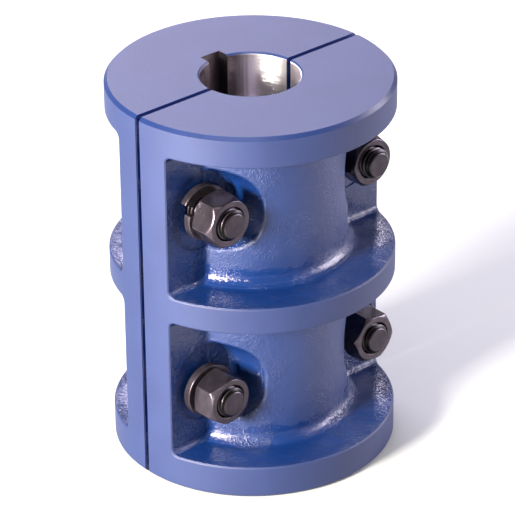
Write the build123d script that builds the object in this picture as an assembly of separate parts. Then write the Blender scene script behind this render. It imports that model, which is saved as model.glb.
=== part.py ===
from build123d import *
import os
from math import cos, degrees, hypot, pi, radians, tan

os.makedirs("parts", exist_ok=True)

# A split muff coupling that stands on its lower end face. Millimetres.
# The bore axis is Z, the split is the plane Y = 0, and the nuts are on the -Y half.

# Castings: machined on the outside diameter, the ends, the bore and the split
outside_diameter = 114.3
length = 158.75
bore_diameter = 39.69
barrel_wall = 18.15
split_gap = 2.4
end_chamfer = 1.4
bore_chamfer = 0.8

# Rims and bolting flanges, as cast
bottom_rim = 13.9
middle_rim = 11.0
top_rim = 12.8
flange_face = 13.7
barrel_fillet = 4.5
pocket_fillet = 2.6
outline_radius = 0.7

# Keyway in the rear half, opposite the split
keyway_width = 9.525
keyway_floor = 24.6

# Bolts: one row near each end, one column on each side of the bore
bolt_diameter = 12.7
bolt_edge_distance = 19.05
row_inset = 39.69
hole_clearance = 0.8
resting_clearance = 0.05
bolt_stick_out = {"upper_left": 2.6, "upper_right": 3.9, "lower_left": 2.3, "lower_right": 2.1}
bolt_end_chamfer = 1.6

# Hexagons of the heads and nuts
across_flats = 19.05
head_height = 7.94
nut_height = 11.1
face_circle_inset = 0.15
shallow_chamfer_angle = 30.0
deep_chamfer_angle = 54.0
nuts_turned_over = ["lower_right"]
bearing_collar = 0.4
bearing_collar_inset = 0.5
thread_clearance = 0.05
nut_countersink = 0.7

# Spring washers, at the height they still stand at under nuts that are only hand tight
washer_thickness = 3.2
washer_width = 4.5
washer_edge_radius = 0.4
washer_clearance = 0.3
washer_split = 2.6
washer_rise = {"upper_left": 3.9, "upper_right": 1.9, "lower_left": 2.5, "lower_right": 3.9}
washer_split_angle = {"upper_left": 158.0, "upper_right": 60.0, "lower_left": 5.0, "lower_right": -60.0}

# How far each hexagon happens to be turned, in degrees
nut_turn = {"upper_left": 8.0, "upper_right": 11.0, "lower_left": 25.0, "lower_right": 52.0}
head_turn = {"upper_left": 8.0, "upper_right": 22.0, "lower_left": 0.0, "lower_right": 41.0}

# Socket room cast into the barrel round each nut and head, a little off the row of bolts
socket_room = 4.0
recess_stretch = 2.5
recess_shift = 1.5
recess_draft = 7.0
recess_mouth_radius = 1.2

# Seats of the washers and heads, milled flat at the bottom of the socket room
seat_depth = 0.5
seat_margin = 3.2

outer_radius = outside_diameter / 2
bore_radius = bore_diameter / 2
barrel_radius = bore_radius + barrel_wall
bolt_radius = bolt_diameter / 2
pocket_height = (length - bottom_rim - middle_rim - top_rim) / 2
hexagon_corner = across_flats / 2 / cos(pi / 6)
bolt_offset = outer_radius - bolt_edge_distance
seat = flange_face - seat_depth
bolt_drop = hole_clearance - resting_clearance
hair = outside_diameter / 10000

# Heights of what repeats in the two levels, and where the columns of bolts stand
pocket_floors = {"upper": length - top_rim - pocket_height, "lower": bottom_rim}
rows = {"upper": length - row_inset, "lower": row_inset}
recess_rows = {"upper": rows["upper"] - recess_shift, "lower": rows["lower"] + recess_shift}
columns = {"left": -bolt_offset, "right": bolt_offset}
places = [level + "_" + side for level in rows for side in columns]
nut_back = {place: seat + washer_thickness + washer_rise[place] for place in places}
bolt_end = {place: nut_back[place] + nut_height + bolt_stick_out[place] for place in places}

ON_BASE = (Align.CENTER, Align.CENTER, Align.MIN)
FRONT = -1
REAR = 1


def facing(half, x, z, distance):
    """A plane at this distance from the split, facing out of the half, with its X to the right."""
    return Plane(origin=(x, half * distance, z), x_dir=(1, 0, 0), z_dir=(0, half, 0))


def hole_at(place, half, distance, drop=0):
    """The plane across the axis of one bolt hole, or of something that lies lower by the drop."""
    level, side = place.split("_")
    return facing(half, columns[side], rows[level] - drop, distance)


def fastener_at(place, half, distance):
    """The same for a bolt, which rests low in its clearance hole, and for what is on it."""
    return hole_at(place, half, distance, bolt_drop)


def turned_blank():
    """The whole coupling as turned and bored, before it has a split, pockets or holes."""
    profile = Polyline(
        (bore_radius, bore_chamfer),
        (bore_radius + bore_chamfer, 0),
        (outer_radius - end_chamfer, 0),
        (outer_radius, end_chamfer),
        (outer_radius, length - end_chamfer),
        (outer_radius - end_chamfer, length),
        (bore_radius + bore_chamfer, length),
        (bore_radius, length - bore_chamfer),
        close=True,
    )
    return revolve(Plane.XZ * make_face(profile), Axis.Z)


def from_axis(edge):
    """How far the middle of an edge is from the bore axis."""
    middle = edge @ 0.5
    return hypot(middle.X, middle.Y)


def recess(level, side, margin, bottom, depth, draft=0):
    """Room round one fastener: a round as much larger than the hexagon as the margin, and stretched."""
    outline = SlotCenterToCenter(2 * recess_stretch, 2 * (hexagon_corner + margin), rotation=90)
    return facing(REAR, columns[side], recess_rows[level], bottom) * extrude(outline, depth, taper=-draft)


def pocket(level):
    """The hollow between two rims of the rear half, with the socket recesses that open into it."""
    reach = outer_radius + pocket_height
    hollow = Cylinder(reach, pocket_height, align=ON_BASE)
    hollow -= Cylinder(barrel_radius, pocket_height, align=ON_BASE)
    beyond_flanges = Box(2 * reach, reach, pocket_height, align=(Align.CENTER, Align.MIN, Align.MIN))
    hollow &= Pos(0, flange_face, 0) * beyond_flanges
    round_barrel = hollow.edges().filter_by(GeomType.CIRCLE).filter_by(lambda e: from_axis(e) < outer_radius)
    hollow = Pos(0, 0, pocket_floors[level]) * fillet(round_barrel, barrel_fillet)
    for side in columns:
        hollow += recess(level, side, socket_room, flange_face, outer_radius, recess_draft)
    on_barrel = hollow.edges().filter_by(
        lambda e: (e @ 0.5).Y > flange_face + hair and from_axis(e) < barrel_radius + recess_mouth_radius)
    mouths = on_barrel.filter_by(GeomType.BSPLINE) + on_barrel.filter_by(Axis.Z)
    hollow = fillet(mouths.filter_by(lambda e: e.length > recess_stretch), recess_mouth_radius)
    on_flange = hollow.edges().filter_by_position(Axis.Y, flange_face, flange_face)
    return fillet(on_flange.filter_by(lambda e: from_axis(e) < reach - pocket_fillet), pocket_fillet)


def casting():
    """One half as it comes from the foundry and the lathe, on the +Y side of the split."""
    keep = Box(2 * outside_diameter, outside_diameter, length, align=(Align.CENTER, Align.MIN, Align.MIN))
    shell = turned_blank() & Pos(0, split_gap / 2, 0) * keep
    for level in rows:
        shell -= pocket(level)
    outline = shell.edges().filter_by(
        lambda e: from_axis(e) > outer_radius - hair and (e @ 0.5).Y > flange_face - hair)
    between_chamfers = outline.filter_by_position(Axis.Z, end_chamfer + hair, length - end_chamfer - hair)
    return fillet(between_chamfers, outline_radius)


def half_shell():
    """What the two halves have in common: the casting with its seats milled and its holes drilled."""
    shell = casting()
    cut_height = pocket_fillet + seat_depth
    for level in rows:
        for side in columns:
            shell -= recess(level, side, seat_margin, seat, cut_height)
    drill = Cylinder(bolt_radius + hole_clearance, 2 * outer_radius)
    return shell - [hole_at(place, REAR, 0) * drill for place in places]


def rear_half_shell(half):
    keyway = Box(keyway_width, keyway_floor, length, align=(Align.CENTER, Align.MIN, Align.MIN))
    return half - keyway


def front_half_shell(half):
    return Rot(0, 0, 180) * half


def hexagon(height, turn, chamfer_angle):
    """A hexagon whose upper corners are turned off to a circle."""
    face_radius = across_flats / 2 - face_circle_inset
    foot_radius = face_radius + height / tan(radians(chamfer_angle))
    prism = extrude(Rot(0, 0, turn) * RegularPolygon(hexagon_corner, 6), height)
    return prism & Cone(foot_radius, face_radius, height, align=ON_BASE)


def bolt(place):
    above_collar = hexagon(head_height - bearing_collar, head_turn[place], shallow_chamfer_angle)
    head = Pos(0, 0, bearing_collar) * above_collar
    head += Cylinder(across_flats / 2 - bearing_collar_inset, head_height / 2, align=ON_BASE)
    shank = Cylinder(bolt_radius, seat + bolt_end[place], align=(Align.CENTER, Align.CENTER, Align.MAX))
    shank = chamfer(shank.edges().filter_by(GeomType.CIRCLE).sort_by(Axis.Z)[0], bolt_end_chamfer)
    return fastener_at(place, REAR, seat) * (head + shank)


def lock_washer(place):
    """A rounded rectangular section, wound one turn less the split along a left-hand helix."""
    mean_radius = bolt_radius + washer_clearance + washer_width / 2
    split = degrees(washer_split / mean_radius)
    rise = washer_rise[place]
    path = Helix(pitch=rise * 360 / (360 - split), height=rise, radius=mean_radius, lefthand=True)
    start = Plane(origin=path @ 0, x_dir=(1, 0, 0), z_dir=(0, -1, 0))
    section = start * RectangleRounded(washer_width, washer_thickness, washer_edge_radius)
    ring = sweep(section, path, is_frenet=True)
    turned = Pos(0, 0, washer_thickness / 2) * Rot(0, 0, washer_split_angle[place] - split / 2) * ring
    return fastener_at(place, FRONT, seat) * turned


def nut(place):
    """A nut with a deeper chamfer on one end than on the other, so that it matters which way it is on."""
    angles = [deep_chamfer_angle, shallow_chamfer_angle]
    if place in nuts_turned_over:
        angles.reverse()
    outer_angle, inner_angle = angles
    turned_over = Pos(0, 0, nut_height) * Rot(180, 0, 0) * hexagon(nut_height, -nut_turn[place], inner_angle)
    blank = hexagon(nut_height, nut_turn[place], outer_angle) & turned_over
    hole_radius = bolt_radius + thread_clearance
    blank -= Cylinder(hole_radius, nut_height, align=ON_BASE)
    mouths = blank.edges().filter_by(GeomType.CIRCLE).filter_by(lambda e: from_axis(e) < hole_radius + hair)
    return fastener_at(place, FRONT, nut_back[place]) * chamfer(mouths, nut_countersink)


def write(node, solid):
    print(node, len(solid.solids()), solid.is_valid, round(solid.volume))
    export_step(solid, "parts/" + node + ".step")


both_halves = half_shell()
write("rear_half_shell", rear_half_shell(both_halves))
write("front_half_shell", front_half_shell(both_halves))
for place in places:
    write("bolt_" + place, bolt(place))
    write("lock_washer_" + place, lock_washer(place))
    write("nut_" + place, nut(place))
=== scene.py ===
from math import cos, exp, log, radians, sin, tan

import bmesh
import bpy
from mathutils import Matrix, Vector


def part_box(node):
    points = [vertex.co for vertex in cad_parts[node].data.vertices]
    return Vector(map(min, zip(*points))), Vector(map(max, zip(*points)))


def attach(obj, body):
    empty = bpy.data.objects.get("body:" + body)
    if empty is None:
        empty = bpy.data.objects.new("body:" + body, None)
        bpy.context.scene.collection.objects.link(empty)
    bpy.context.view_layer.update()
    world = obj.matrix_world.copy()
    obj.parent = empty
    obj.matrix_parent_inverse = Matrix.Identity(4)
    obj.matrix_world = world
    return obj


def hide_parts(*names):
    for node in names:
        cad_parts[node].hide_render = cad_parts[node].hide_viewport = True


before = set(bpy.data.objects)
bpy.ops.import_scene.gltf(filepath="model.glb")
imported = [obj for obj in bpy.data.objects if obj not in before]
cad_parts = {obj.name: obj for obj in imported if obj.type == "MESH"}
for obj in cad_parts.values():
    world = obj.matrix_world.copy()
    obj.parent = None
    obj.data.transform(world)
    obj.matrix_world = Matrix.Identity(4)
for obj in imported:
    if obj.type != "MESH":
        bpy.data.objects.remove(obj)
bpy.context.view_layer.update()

MM = 0.001

# Sizes of the coupling that the looks depend on, in metres
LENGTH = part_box("front_half_shell")[1][2]
OUTER_RADIUS = 57.15 * MM
BARREL_RADIUS = 37.995 * MM
BORE_RADIUS = 19.845 * MM
KEYWAY_HALF_WIDTH = 4.7625 * MM
KEYWAY_FLOOR = 24.6 * MM
LEDGES = (13.9 * MM, 85.425 * MM)
END_CHAMFER = 1.4 * MM
SPLIT_HALF = 1.2 * MM

# Hexagons of the nuts and heads, in metres and degrees
ACROSS_FLATS = 19.05 * MM
FACE_RADIUS = ACROSS_FLATS / 2 - 0.15 * MM
CORNER_ROUNDING = 0.16 * MM
SHALLOW_CHAMFER = 30.0
DEEP_CHAMFER = 54.0
DEGREES_FROM_CORNER = (0, 0.4, 0.8, 1.3, 1.9, 2.7, 3.8, 5.5, 8, 11.5, 16, 20.5, 25, 30)
CLOSE_RINGS = 24
CLOSE_RING_STEP = 0.11 * MM
NUT_TURN = {"upper_left": 8.0, "upper_right": 11.0, "lower_left": 25.0, "lower_right": 52.0}
HEAD_TURN = {"upper_left": 8.0, "upper_right": 22.0, "lower_left": 0.0, "lower_right": 41.0}
NUTS_TURNED_OVER = ("lower_right",)

# Threads and ends of the bolts, and the holes of the nuts
BOLT_OFFSET = 38.1 * MM
BOLT_RADIUS = 6.35 * MM
BOLT_END_RADIUS = 4.75 * MM
THREAD_PITCH = 1.954 * MM
THREAD_DEPTH = 1.15 * MM
THREAD_LENGTH = 24 * MM
THREAD_CREST = 0.14
THREAD_FLANK = 0.72
RINGS_A_TURN = 12
NUT_HOLE_RADIUS = 6.4 * MM
NUT_COUNTERSINK = 0.7 * MM
HEAD_HEIGHT = 7.94 * MM
COLLAR_HEIGHT = 0.4 * MM
COLLAR_RADIUS = ACROSS_FLATS / 2 - 0.5 * MM

# Distances of rings from an edge: where it starts to bend, on the flat beside it, and halfway round the bend
EDGE_ROUNDING = 0.08 * MM
FLAT_FROM_EDGE = 4 * EDGE_ROUNDING
HALF_BEND = 0.3 * EDGE_ROUNDING
CREASE = 0.05 * MM
BESIDE_CREASE = 0.3 * MM
BELOW_HEAD = 0.4 * MM
SHORT_OF_HEXAGON = 0.02 * MM

# The photograph's viewpoint, worked out from the rims and ends of the coupling
CAMERA_ELEVATION = radians(28.3444)
CAMERA_TURN = radians(40.9949)
CAMERA_ROLL = radians(-0.6146)
CAMERA_DISTANCE = 22.6013 * OUTER_RADIUS
CAMERA_AIM = Vector((0, 0, 1.4 * OUTER_RADIUS))
AIM_RIGHT = -0.0352 * OUTER_RADIUS
AIM_DOWN = -0.0372 * OUTER_RADIUS
FOCAL_PIXELS = 3227.79
FRAME_PIXELS = 515
SENSOR = 36.0
CLIP_END = 50

# Paint on the cast and the turned surfaces, each as it is and where it is thin, and a deeper navy in the
# split that is painted shade of the gap between the halves
POCKET_PAINT = (0.0028, 0.0150, 0.076)
POCKET_PAINT_THIN = (0.0044, 0.0180, 0.086)
TURNED_PAINT = (0.0030, 0.0125, 0.065)
TURNED_PAINT_THIN = (0.0050, 0.0160, 0.075)
SPLIT_PAINTED_SHADE = (0.0030, 0.0130, 0.095)
LAVENDER_GLOSS = (1.0, 0.92, 1.0)
PAINT_IOR = 1.55

# Roughness of the casting: the least and what its noise adds, or one value
TURNED_ROUGHNESS = (0.54, 0.10)
POCKET_ROUGHNESS = (0.04, 0.09)
BARREL_ROUGHNESS = (0.32, 0.30)
CHAMFER_ROUGHNESS = 0.34
BORE_ROUGHNESS = 0.28
LEDGE_DULLED_BY = 0.15

# Where the ledges are dull, by radius, and how high over a ledge, with its noise, the barrel turns matt
OUTER_LEDGE = (51 * MM, 57 * MM)
MATT_HEIGHT = (11 * MM, 13.5 * MM)
MATT_HEIGHT_NOISE = 10 * MM

# Relief of the casting: how high its lumps and tool marks stand, and the share of each kind of lump
CAST_RELIEF = 0.8 * MM
TOOL_MARK_RELIEF = 0.14 * MM
SWELL = 0.6
SWELL_ON_LEDGES = 0.25
SAND = 0.32
LUMPS = 0.42
SMOOTHEST = 0.28
ROUGH_ON_BARREL = 0.45
ROUGH_ON_LEDGES = 0.7

# Noises: lumps in a metre, how often finer ones are added, and how strong these are
PATCH_NOISE = (38.0, 3.0, 0.6)
MATT_LINE_NOISE = (160.0, 3.0, 0.6)
GRAIN_NOISE = (900.0, 2.0, 0.5)
SWELL_NOISE = (130.0, 2.0, 0.5)
LUMP_NOISE = (620.0, 3.0, 0.6)
SAND_NOISE = (1500.0, 2.0, 0.6)
ROUGH_AREA_NOISE = (55.0, 2.0, 0.5)
STAIN_NOISE = (260.0, 3.0, 0.6)
STEEL_GRAIN_NOISE = (1400.0, 3.0, 0.6)

# Lumps in a metre along X, Y and Z, of the streaks down the bore and the tool marks round it
BORE_STREAKS = (700, 700, 30)
TOOL_MARKS = (20, 20, 5200)

# The noise at which each of these starts, and at which it is complete
THIN_PAINT = (0.35, 0.7)
SAND_GRAINS = (0.40, 0.80)
ROUGH_AREAS = (0.45, 0.65)
LIGHT_STAINS = (0.3, 0.75)

# The bore: painted light and shade on its bare steel, lit bright at its front right and shaded near black at
# its back left towards the keyway, with an uneven change between these
LIT_BORE_STEEL = (0.97, 0.90, 0.97)
SHADED_BORE_STEEL = (0.13, 0.108, 0.12)
BORE_SHADE_WITHIN = 14 * MM
STREAKS_WITHIN = 6 * MM

# Oiled steel of the fasteners, each with its colour and least roughness
WASHER_STEEL = ((0.058, 0.047, 0.060), 0.26)
BOLT_STEEL = ((0.038, 0.030, 0.040), 0.28)
NUT_STEEL = ((0.053, 0.042, 0.055), 0.19)
STEEL_METALLIC = 0.85
STEEL_GRAIN_RELIEF = 0.03 * MM
STAIN_ROUGHNESS = 0.12
STAINED_BRIGHTER = 1.5
# Edges made brighter by this much, partly wear and partly a painted highlight, where the pointiness lies
# between these
EDGE_WEAR_AND_HIGHLIGHT_BRIGHTER = 2.6
EDGE_POINTINESS = (0.54, 0.66)

# Painted shade, near black, round the thread's end, in the nut's countersink and hole and in the bolt's
# thread grooves: from and to these distances from the bolt's axis
THREAD_GAP_SHADE = (0.004, 0.003, 0.003)
THREAD_GAP_SHADE_FADE = 0.15 * MM
BOLT_GAP_SHADE = (5.0 * MM, 5.9 * MM)
NUT_HOLE_SHADE = (0.1 * MM, 7.1 * MM)

FLOOR_GREY = (0.40, 0.40, 0.402)
FLOOR_ROUGHNESS = 0.9
FLOOR_HALF = 6.0
SKY_STRENGTH = 0.3

# Softboxes: azimuth and elevation in degrees, distance and size in metres, watts and colour
LIGHTS = {
    "key": (-177, 17, 1.3, (0.34, 0.34), 114, (1.0, 0.97, 0.84)),
    "fill": (-28, 15, 1.9, (1.4, 1.0), 66, (0.94, 0.91, 1.0)),
    "back": (66, 34, 1.6, (1.2, 0.7), 36, (0.84, 0.79, 1.0)),
    "overhead": (-150, 80, 1.5, (0.8, 0.8), 9, (1.0, 1.0, 1.0)),
}


def add_object(name, data):
    made = bpy.data.objects.new(name, data)
    bpy.context.scene.collection.objects.link(made)
    return made


def make_camera():
    """The photograph's viewpoint: a long lens, looking down on the coupling from its nut side."""
    right = Vector((cos(CAMERA_TURN), -sin(CAMERA_TURN), 0))
    forward = Vector((cos(CAMERA_ELEVATION) * sin(CAMERA_TURN),
                      cos(CAMERA_ELEVATION) * cos(CAMERA_TURN), -sin(CAMERA_ELEVATION)))
    up = right.cross(forward)
    across = right * cos(CAMERA_ROLL) + up * sin(CAMERA_ROLL)
    down = right * sin(CAMERA_ROLL) - up * cos(CAMERA_ROLL)
    data = bpy.data.cameras.new("camera")
    data.sensor_width = SENSOR
    data.sensor_fit = "HORIZONTAL"
    data.lens = FOCAL_PIXELS / FRAME_PIXELS * SENSOR
    data.clip_end = CLIP_END
    camera = add_object("camera", data)
    place = CAMERA_AIM - across * AIM_RIGHT - down * AIM_DOWN - forward * CAMERA_DISTANCE
    axes = Matrix((across, -down, -forward)).transposed().to_4x4()
    camera.matrix_world = Matrix.Translation(place) @ axes
    bpy.context.scene.camera = camera


def smooth_least(lengths, rounding):
    """The least of some lengths, with the corners between them rounded off."""
    least = min(lengths)
    return least - rounding * log(sum(exp((least - length) / rounding) for length in lengths))


def clamped(value):
    return min(1.0, max(0.0, value))


def hexagon_angles():
    """Directions round a hexagon, in degrees from a corner, close together beside each corner."""
    angles = []
    for corner in range(0, 360, 60):
        angles += [corner + step for step in DEGREES_FROM_CORNER[:-1]]
        angles += [corner + 60 - step for step in reversed(DEGREES_FROM_CORNER[1:])]
    return angles


def hexagon_radius(angle, *limits):
    """From the axis to the hexagon, or to the nearest of some limits, with the corners rounded."""
    turns = [radians(angle % 60 - normal) for normal in (-30, 30, 90)]
    flats = [ACROSS_FLATS / 2 / max(cos(turn), 0.1) for turn in turns]
    return smooth_least(flats + list(limits), CORNER_ROUNDING)


class Turned:
    """A closed surface made of rings round an axis along Y, with the same directions in every ring."""

    def __init__(self, node, turn, mirrored=False):
        self.low, self.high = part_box(node)
        self.x = (self.low[0] + self.high[0]) / 2
        self.z = (self.low[2] + self.high[2]) / 2
        self.turn = turn
        self.lift = -1 if mirrored else 1
        self.angles = hexagon_angles()
        self.rings = []

    def ring(self, y, radius):
        """A ring at one Y, where radius is a length or a function of the angle from a corner."""
        points = []
        for angle in self.angles:
            reach = radius(angle) if callable(radius) else radius
            way = radians(angle + self.turn)
            points.append((self.x + reach * cos(way), y, self.z + self.lift * reach * sin(way)))
        self.rings.append(points)

    def first_edge(self, y, radius):
        """The rounded edge between a face at this Y and the wall that starts there, towards higher Y."""
        self.ring(y, radius - FLAT_FROM_EDGE)
        self.ring(y, radius - EDGE_ROUNDING)
        self.ring(y + HALF_BEND, radius - HALF_BEND)

    def mesh(self, name, joined):
        """The mesh of the rings in their order, joined last to first or closed with two flat ends."""
        made = bmesh.new()
        rings = [[made.verts.new(point) for point in ring] for ring in self.rings]
        pairs = list(zip(rings, rings[1:]))
        if joined:
            pairs.append((rings[-1], rings[0]))
        else:
            made.faces.new(rings[0])
            made.faces.new(rings[-1])
        for ring, after in pairs:
            for i in range(len(ring)):
                made.faces.new((ring[i - 1], ring[i], after[i], after[i - 1]))
        bmesh.ops.recalc_face_normals(made, faces=made.faces)
        data = bpy.data.meshes.new(name)
        made.to_mesh(data)
        made.free()
        data.polygons.foreach_set("use_smooth", [len(face.vertices) == 4 for face in data.polygons])
        return data


def hexagon_depths(height):
    """Depths of the rings down the sides of a hexagon, close together where its corners are turned off."""
    close = [CLOSE_RING_STEP * count for count in range(1, CLOSE_RINGS + 1)]
    middle = [close[-1] + (height - 2 * close[-1]) * share for share in (0.25, 0.5, 0.75)]
    return close + middle + [height - depth for depth in reversed(close)]


def hexagon_wall(turned, start, out, height, first_chamfer, last_chamfer=None):
    """The sides of a hexagon from its face at start, going out along Y, with its corners turned off."""
    for depth in hexagon_depths(height):
        limits = [FACE_RADIUS + depth / tan(radians(first_chamfer))]
        if last_chamfer:
            limits.append(FACE_RADIUS + (height - depth) / tan(radians(last_chamfer)))
        turned.ring(start + out * depth, lambda angle: hexagon_radius(angle, *limits))


def finish_piece(name, mesh, node, material):
    mesh.materials.append(material)
    piece = add_object(name, mesh)
    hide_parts(node)
    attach(piece, "root")


def nut_mouth():
    """Depths and radii from a nut's flat face down its countersink to the start of its hole."""
    mouth = NUT_HOLE_RADIUS + NUT_COUNTERSINK
    return [(0, mouth + BESIDE_CREASE),
            (0, mouth + CREASE),
            (CREASE, mouth),
            (NUT_COUNTERSINK - CREASE, NUT_HOLE_RADIUS + CREASE),
            (NUT_COUNTERSINK + CREASE, NUT_HOLE_RADIUS),
            (NUT_COUNTERSINK + BESIDE_CREASE, NUT_HOLE_RADIUS)]


def make_nut(place, material):
    """A nut with its corners turned off deeper on one end, and a countersunk hole."""
    node = "nut_" + place
    nut = Turned(node, NUT_TURN[place])
    outer, inner = nut.low[1], nut.high[1]
    chamfers = [DEEP_CHAMFER, SHALLOW_CHAMFER]
    if place in NUTS_TURNED_OVER:
        chamfers.reverse()
    nut.first_edge(outer, FACE_RADIUS)
    hexagon_wall(nut, outer, 1, inner - outer, *chamfers)
    nut.ring(inner, FACE_RADIUS - EDGE_ROUNDING)
    nut.ring(inner, FACE_RADIUS - FLAT_FROM_EDGE)
    for depth, radius in nut_mouth():
        nut.ring(inner - depth, radius)
    for depth, radius in reversed(nut_mouth()):
        nut.ring(outer + depth, radius)
    finish_piece(node + "_hexagon", nut.mesh(node, joined=True), node, material)


def thread_radius(along, angle):
    """From the axis to a right-hand thread, at a distance from the bolt's end and a direction round it."""
    phase = (along / THREAD_PITCH - angle / 360) % 1
    from_crest = 1 - abs(2 * phase - 1)
    fade = clamped((THREAD_LENGTH - along) / THREAD_PITCH)
    return BOLT_RADIUS - fade * THREAD_DEPTH * clamped((from_crest - THREAD_CREST) / THREAD_FLANK)


def add_thread(bolt, end):
    """The rings of a bolt from its chamfered end to past where its thread runs out."""
    bolt.first_edge(end, BOLT_END_RADIUS)
    step = THREAD_PITCH / RINGS_A_TURN
    for count in range(1, int(THREAD_LENGTH / step) + 2):
        along = count * step
        chamfered = BOLT_END_RADIUS + along
        bolt.ring(end + along, lambda angle: smooth_least(
            (thread_radius(along, angle + bolt.turn), chamfered), EDGE_ROUNDING / 2))


def add_head(bolt, seat, top):
    """The rings of a bolt from the shank under its head, over the collar, to the face of the hexagon."""
    bolt.ring(seat - BELOW_HEAD, BOLT_RADIUS)
    bolt.ring(seat, BOLT_RADIUS)
    bolt.ring(seat, BOLT_RADIUS + BESIDE_CREASE)
    bolt.ring(seat, COLLAR_RADIUS - EDGE_ROUNDING)
    bolt.ring(seat + EDGE_ROUNDING, COLLAR_RADIUS)
    bolt.ring(seat + COLLAR_HEIGHT - SHORT_OF_HEXAGON, COLLAR_RADIUS)
    hexagon_start = len(bolt.rings)
    hexagon_wall(bolt, top, -1, HEAD_HEIGHT - COLLAR_HEIGHT, SHALLOW_CHAMFER)
    bolt.rings[hexagon_start:] = reversed(bolt.rings[hexagon_start:])
    bolt.ring(top - HALF_BEND, FACE_RADIUS - HALF_BEND)
    bolt.ring(top, FACE_RADIUS - EDGE_ROUNDING)
    bolt.ring(top, FACE_RADIUS - FLAT_FROM_EDGE)


def make_bolt(place, material):
    """A bolt with a cut thread, a chamfered end and a hexagon head over a thin round collar."""
    node = "bolt_" + place
    bolt = Turned(node, HEAD_TURN[place], mirrored=True)
    end, top = bolt.low[1], bolt.high[1]
    add_thread(bolt, end)
    add_head(bolt, top - HEAD_HEIGHT, top)
    finish_piece(node + "_threaded", bolt.mesh(node, joined=False), node, material)


class Shader:
    """A material's node tree, with short ways to add nodes and join them."""

    def __init__(self, name):
        self.material = bpy.data.materials.new(name)
        self.material.use_nodes = True
        self.tree = self.material.node_tree
        self.surface = self.tree.nodes["Principled BSDF"]

    def set(self, **values):
        for name, value in values.items():
            self.put(value, self.surface.inputs[name.replace("_", " ")])

    def put(self, value, socket):
        if isinstance(value, bpy.types.NodeSocket):
            self.tree.links.new(value, socket)
        elif isinstance(value, tuple) and socket.type == "RGBA" and len(value) == 3:
            socket.default_value = (*value, 1)
        else:
            socket.default_value = value

    def node(self, kind, **settings):
        made = self.tree.nodes.new(kind)
        for name, value in settings.items():
            setattr(made, name, value)
        return made

    def place(self):
        return self.node("ShaderNodeTexCoord").outputs["Object"]

    def pointiness(self):
        return self.node("ShaderNodeNewGeometry").outputs["Pointiness"]

    def math(self, operation, *values):
        made = self.node("ShaderNodeMath", operation=operation)
        for socket, value in zip(made.inputs, values):
            self.put(value, socket)
        return made.outputs[0]

    def product(self, *values):
        result = values[0]
        for value in values[1:]:
            result = self.math("MULTIPLY", result, value)
        return result

    def apart_from(self, value, other):
        """How far two values lie apart."""
        return self.math("ABSOLUTE", self.math("SUBTRACT", value, other))

    def step(self, value, low, high):
        """0 below low, 1 above high, smooth between. low may be above high."""
        made = self.node("ShaderNodeMapRange", interpolation_type="SMOOTHSTEP")
        for name, given in (("Value", value), ("From Min", low), ("From Max", high)):
            self.put(given, made.inputs[name])
        return made.outputs["Result"]

    def noise(self, place, scale, detail=2.0, roughness=0.5):
        """Noise from 0 to 1, in lumps of about 1 / scale."""
        made = self.node("ShaderNodeTexNoise")
        self.put(place, made.inputs["Vector"])
        self.put(scale, made.inputs["Scale"])
        self.put(detail, made.inputs["Detail"])
        self.put(roughness, made.inputs["Roughness"])
        return made.outputs["Fac"]

    def scaled(self, place, x, y, z):
        made = self.node("ShaderNodeVectorMath", operation="MULTIPLY")
        self.put(place, made.inputs[0])
        self.put((x, y, z), made.inputs[1])
        return made.outputs[0]

    def length(self, place):
        made = self.node("ShaderNodeVectorMath", operation="LENGTH")
        self.put(place, made.inputs[0])
        return made.outputs["Value"]

    def coordinates(self, place):
        made = self.node("ShaderNodeSeparateXYZ")
        self.put(place, made.inputs[0])
        return made.outputs

    def mix(self, amount, a, b):
        made = self.node("ShaderNodeMix", data_type="FLOAT")
        for socket, value in zip((made.inputs[0], made.inputs[2], made.inputs[3]), (amount, a, b)):
            self.put(value, socket)
        return made.outputs[0]

    def mix_colour(self, amount, a, b):
        made = self.node("ShaderNodeMix", data_type="RGBA")
        for socket, value in zip((made.inputs[0], made.inputs[6], made.inputs[7]), (amount, a, b)):
            self.put(value, socket)
        return made.outputs[2]

    def bump(self, height, distance, below=None):
        made = self.node("ShaderNodeBump")
        self.put(height, made.inputs["Height"])
        self.put(distance, made.inputs["Distance"])
        if below is not None:
            self.put(below, made.inputs["Normal"])
        return made.outputs["Normal"]


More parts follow.
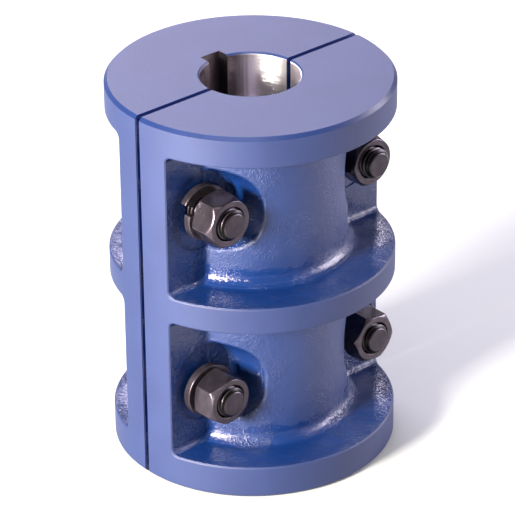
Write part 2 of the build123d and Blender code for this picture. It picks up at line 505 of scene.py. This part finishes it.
class CastingShader(Shader):
    """The shader of the half shells. Each of its places is 1 on that place and 0 elsewhere."""

    def __init__(self, name):
        super().__init__(name)
        self.at = self.place()
        self.x, self.y, self.z = self.coordinates(self.at)
        self.radius = self.length(self.scaled(self.at, 1, 1, 0))
        self.patches = self.noise(self.at, *PATCH_NOISE)
        self.bare = self.bare_steel()
        self.turned = self.turned_faces()
        self.cast = self.product(self.beyond(self.turned), self.beyond(self.bare))
        self.barrel = self.step(self.apart_from(self.radius, BARREL_RADIUS), 1.2 * MM, 0.2 * MM)
        self.ledge = self.math("MAXIMUM", *[self.near_ledge(ledge) for ledge in LEDGES])
        self.outer_ledge = self.product(self.ledge, self.step(self.radius, *OUTER_LEDGE))

    def beyond(self, place):
        """1 everywhere but on a place."""
        return self.math("SUBTRACT", 1.0, place)

    def bare_steel(self):
        """The bore and the keyway, which were cut after painting."""
        in_bore = self.step(self.radius, BORE_RADIUS + 0.15 * MM, BORE_RADIUS + 0.05 * MM)
        across = self.step(self.math("ABSOLUTE", self.x), KEYWAY_HALF_WIDTH + 0.1 * MM, KEYWAY_HALF_WIDTH)
        behind_axis = self.step(self.y, 0.0, 1 * MM)
        short_of_floor = self.step(self.y, KEYWAY_FLOOR + 0.1 * MM, KEYWAY_FLOOR)
        return self.math("MAXIMUM", in_bore, self.product(across, behind_axis, short_of_floor))

    def turned_faces(self):
        """The outside diameter, the two ends and their chamfers, which were turned before painting."""
        on_outside = self.step(self.radius, OUTER_RADIUS - 0.65 * MM, OUTER_RADIUS - 0.35 * MM)
        on_bottom = self.step(self.z, END_CHAMFER + 0.3 * MM, END_CHAMFER + 0.1 * MM)
        on_top = self.step(self.z, LENGTH - END_CHAMFER - 0.3 * MM, LENGTH - END_CHAMFER - 0.1 * MM)
        return self.math("MAXIMUM", on_outside, self.math("MAXIMUM", on_bottom, on_top))

    def near_ledge(self, ledge):
        return self.step(self.apart_from(self.z, ledge), 0.6 * MM, 0.2 * MM)

    def upper_chamfers(self):
        """The chamfers round the upper end, outside and in the bore."""
        below_top = self.math("SUBTRACT", LENGTH, self.z)
        short_of_wall = self.step(below_top, END_CHAMFER + 0.2 * MM, END_CHAMFER)
        return self.product(self.step(below_top, 0.02 * MM, 0.12 * MM), short_of_wall)

    def matt_barrel(self):
        """The barrel above an uneven line over the fillet, where the paint is dull."""
        above_ledge = self.math("MODULO", self.math("SUBTRACT", self.z, LEDGES[0]), LEDGES[1] - LEDGES[0])
        line = self.noise(self.at, *MATT_LINE_NOISE)
        height = self.math("MULTIPLY_ADD", line, MATT_HEIGHT_NOISE, above_ledge)
        return self.product(self.barrel, self.step(height, *MATT_HEIGHT))

    def colour(self):
        thin = self.step(self.patches, *THIN_PAINT)
        pocket = self.mix_colour(thin, POCKET_PAINT, POCKET_PAINT_THIN)
        paint = self.mix_colour(self.turned, pocket, self.mix_colour(thin, TURNED_PAINT, TURNED_PAINT_THIN))
        # Painted shade: the faces in the split get a deeper navy that stands for the shade in the gap
        split_shade = self.step(self.math("ABSOLUTE", self.y), SPLIT_HALF + 0.12 * MM, SPLIT_HALF + 0.04 * MM)
        paint = self.mix_colour(split_shade, paint, SPLIT_PAINTED_SHADE)
        # Painted light and shade in the bore: lit steel at the front right, shaded steel towards the keyway,
        # with streaks down the border between them
        streaks = self.noise(self.scaled(self.at, *BORE_STREAKS), 1.0)
        to_keyway = self.math("SUBTRACT", self.y, self.x)
        to_keyway = self.math("ADD", to_keyway, self.product(streaks, STREAKS_WITHIN))
        steel = self.mix_colour(self.step(to_keyway, 0.0, BORE_SHADE_WITHIN), LIT_BORE_STEEL, SHADED_BORE_STEEL)
        return self.mix_colour(self.bare, paint, steel)

    def uneven_roughness(self, noise, roughness):
        least, spread = roughness
        return self.math("MULTIPLY_ADD", noise, spread, least)

    def roughness(self):
        turned = self.uneven_roughness(self.noise(self.at, *GRAIN_NOISE), TURNED_ROUGHNESS)
        turned = self.mix(self.upper_chamfers(), turned, CHAMFER_ROUGHNESS)
        pocket = self.uneven_roughness(self.patches, POCKET_ROUGHNESS)
        pocket = self.math("MULTIPLY_ADD", self.outer_ledge, LEDGE_DULLED_BY, pocket)
        barrel = self.uneven_roughness(self.patches, BARREL_ROUGHNESS)
        cast = self.mix(self.matt_barrel(), pocket, barrel)
        return self.mix(self.bare, self.mix(self.turned, cast, turned), BORE_ROUGHNESS)

    def relief(self):
        """Broad swells and fine lumps and sand on the casting, and tool marks round the bore."""
        sand = self.step(self.noise(self.at, *SAND_NOISE), *SAND_GRAINS)
        lumps = self.noise(self.at, *LUMP_NOISE)
        fine = self.math("MULTIPLY_ADD", sand, SAND, self.product(lumps, LUMPS))
        rough = self.step(self.noise(self.at, *ROUGH_AREA_NOISE), *ROUGH_AREAS)
        rough = self.product(rough, self.mix(self.barrel, 1.0, ROUGH_ON_BARREL))
        rough = self.math("MULTIPLY_ADD", self.outer_ledge, ROUGH_ON_LEDGES, rough)
        fine = self.product(fine, self.math("ADD", rough, SMOOTHEST))
        swell = self.noise(self.at, *SWELL_NOISE)
        swell_size = self.mix(self.ledge, SWELL, SWELL_ON_LEDGES)
        lumpy = self.product(self.cast, self.math("MULTIPLY_ADD", swell, swell_size, fine))
        tool_marks = self.product(self.bare, self.noise(self.scaled(self.at, *TOOL_MARKS), 1.0))
        return self.bump(tool_marks, TOOL_MARK_RELIEF, self.bump(lumpy, CAST_RELIEF))


def coupling_finish():
    """Blue paint over turned and rough cast iron, with the bore and keyway left bare."""
    s = CastingShader("painted_casting")
    s.set(Base_Color=s.colour(), Metallic=s.bare, Roughness=s.roughness(), Normal=s.relief())
    s.set(IOR=PAINT_IOR, Specular_Tint=LAVENDER_GLOSS)
    return s.material


def middle_height(node):
    low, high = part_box(node)
    return (low[2] + high[2]) / 2


def beside_bolt_axis(s, x, z):
    """How far a point is from the axis of the nearest bolt, which are alike on both sides and levels."""
    along_x = s.math("SUBTRACT", s.math("ABSOLUTE", x), BOLT_OFFSET)
    from_rows = [s.apart_from(z, middle_height(node)) for node in ("nut_lower_left", "nut_upper_left")]
    along_z = s.math("MINIMUM", *from_rows)
    return s.math("SQRT", s.math("ADD", s.product(along_x, along_x), s.product(along_z, along_z)))


# Where the painted shade in the gap between nut and bolt goes
def thread_shade_places(s, place, gap_shade):
    """1 on the nuts' side of the split, between two distances from the nearest bolt's axis."""
    start, end = gap_shade
    x, y, z = s.coordinates(place)
    away = beside_bolt_axis(s, x, z)
    past_start = s.step(away, start, start + THREAD_GAP_SHADE_FADE)
    short_of_end = s.step(away, end + THREAD_GAP_SHADE_FADE, end - THREAD_GAP_SHADE_FADE)
    on_nut_side = s.step(y, 0.0, -1 * MM)
    return s.product(past_start, short_of_end, on_nut_side)


def oiled_steel(name, steel, gap_shade=None):
    """Dark oiled steel, with its edges painted brighter for wear and as a painted highlight. The painted
    shade in the gap round a bolt is given as two distances from its axis, or None.
    """
    colour, roughness = steel
    s = Shader(name)
    place = s.place()
    stains = s.noise(place, *STAIN_NOISE)
    light = tuple(value * STAINED_BRIGHTER for value in colour)
    worn_and_highlit = tuple(value * EDGE_WEAR_AND_HIGHLIGHT_BRIGHTER for value in colour)
    finish = s.mix_colour(s.step(stains, *LIGHT_STAINS), colour, light)
    # Wear and painted highlight: the edges are made brighter by pointiness
    finish = s.mix_colour(s.step(s.pointiness(), *EDGE_POINTINESS), finish, worn_and_highlit)
    if gap_shade:
        # Painted shade: near black in the nut's hole and on the thread where they meet
        finish = s.mix_colour(thread_shade_places(s, place, gap_shade), finish, THREAD_GAP_SHADE)
    s.set(Base_Color=finish, Metallic=STEEL_METALLIC)
    s.set(Roughness=s.math("MULTIPLY_ADD", stains, STAIN_ROUGHNESS, roughness))
    s.set(Normal=s.bump(s.noise(place, *STEEL_GRAIN_NOISE), STEEL_GRAIN_RELIEF))
    return s.material


def make_floor():
    corners = [(x * FLOOR_HALF, y * FLOOR_HALF, 0) for x, y in ((-1, -1), (1, -1), (1, 1), (-1, 1))]
    mesh = bpy.data.meshes.new("floor")
    mesh.from_pydata(corners, [], [(0, 1, 2, 3)])
    s = Shader("pale_floor")
    s.set(Base_Color=FLOOR_GREY, Roughness=FLOOR_ROUGHNESS)
    mesh.materials.append(s.material)
    add_object("floor", mesh)


def soft_light(name, azimuth, elevation, distance, size, power, colour):
    """A softbox that looks at the middle of the coupling."""
    data = bpy.data.lights.new(name, "AREA")
    data.shape = "RECTANGLE"
    data.size, data.size_y = size
    data.energy = power
    data.color = colour
    light = add_object(name, data)
    turn, lift = radians(azimuth), radians(elevation)
    away = Vector((cos(turn) * cos(lift), sin(turn) * cos(lift), sin(lift)))
    light.location = Vector((0, 0, LENGTH / 2)) + away * distance
    light.rotation_euler = away.to_track_quat("Z", "Y").to_euler()


def make_lights():
    world = bpy.data.worlds.new("studio")
    world.use_nodes = True
    sky = world.node_tree.nodes["Background"]
    sky.inputs["Color"].default_value = (1.0, 1.0, 1.0, 1)
    sky.inputs["Strength"].default_value = SKY_STRENGTH
    bpy.context.scene.world = world
    for name, values in LIGHTS.items():
        soft_light(name, *values)


bpy.context.scene.view_settings.view_transform = "Standard"
make_camera()
make_floor()
make_lights()

# The shells and washers keep their shapes. The nodes of the bolts and nuts are hidden by their replacements.
casting = coupling_finish()
washer_steel = oiled_steel("washer_steel", WASHER_STEEL)
for node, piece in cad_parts.items():
    for slot in piece.material_slots:
        slot.material = casting if "shell" in node else washer_steel

bolt_steel = oiled_steel("bolt_steel", BOLT_STEEL, BOLT_GAP_SHADE)
nut_steel = oiled_steel("nut_steel", NUT_STEEL, NUT_HOLE_SHADE)
for place in NUT_TURN:
    make_bolt(place, bolt_steel)
    make_nut(place, nut_steel)
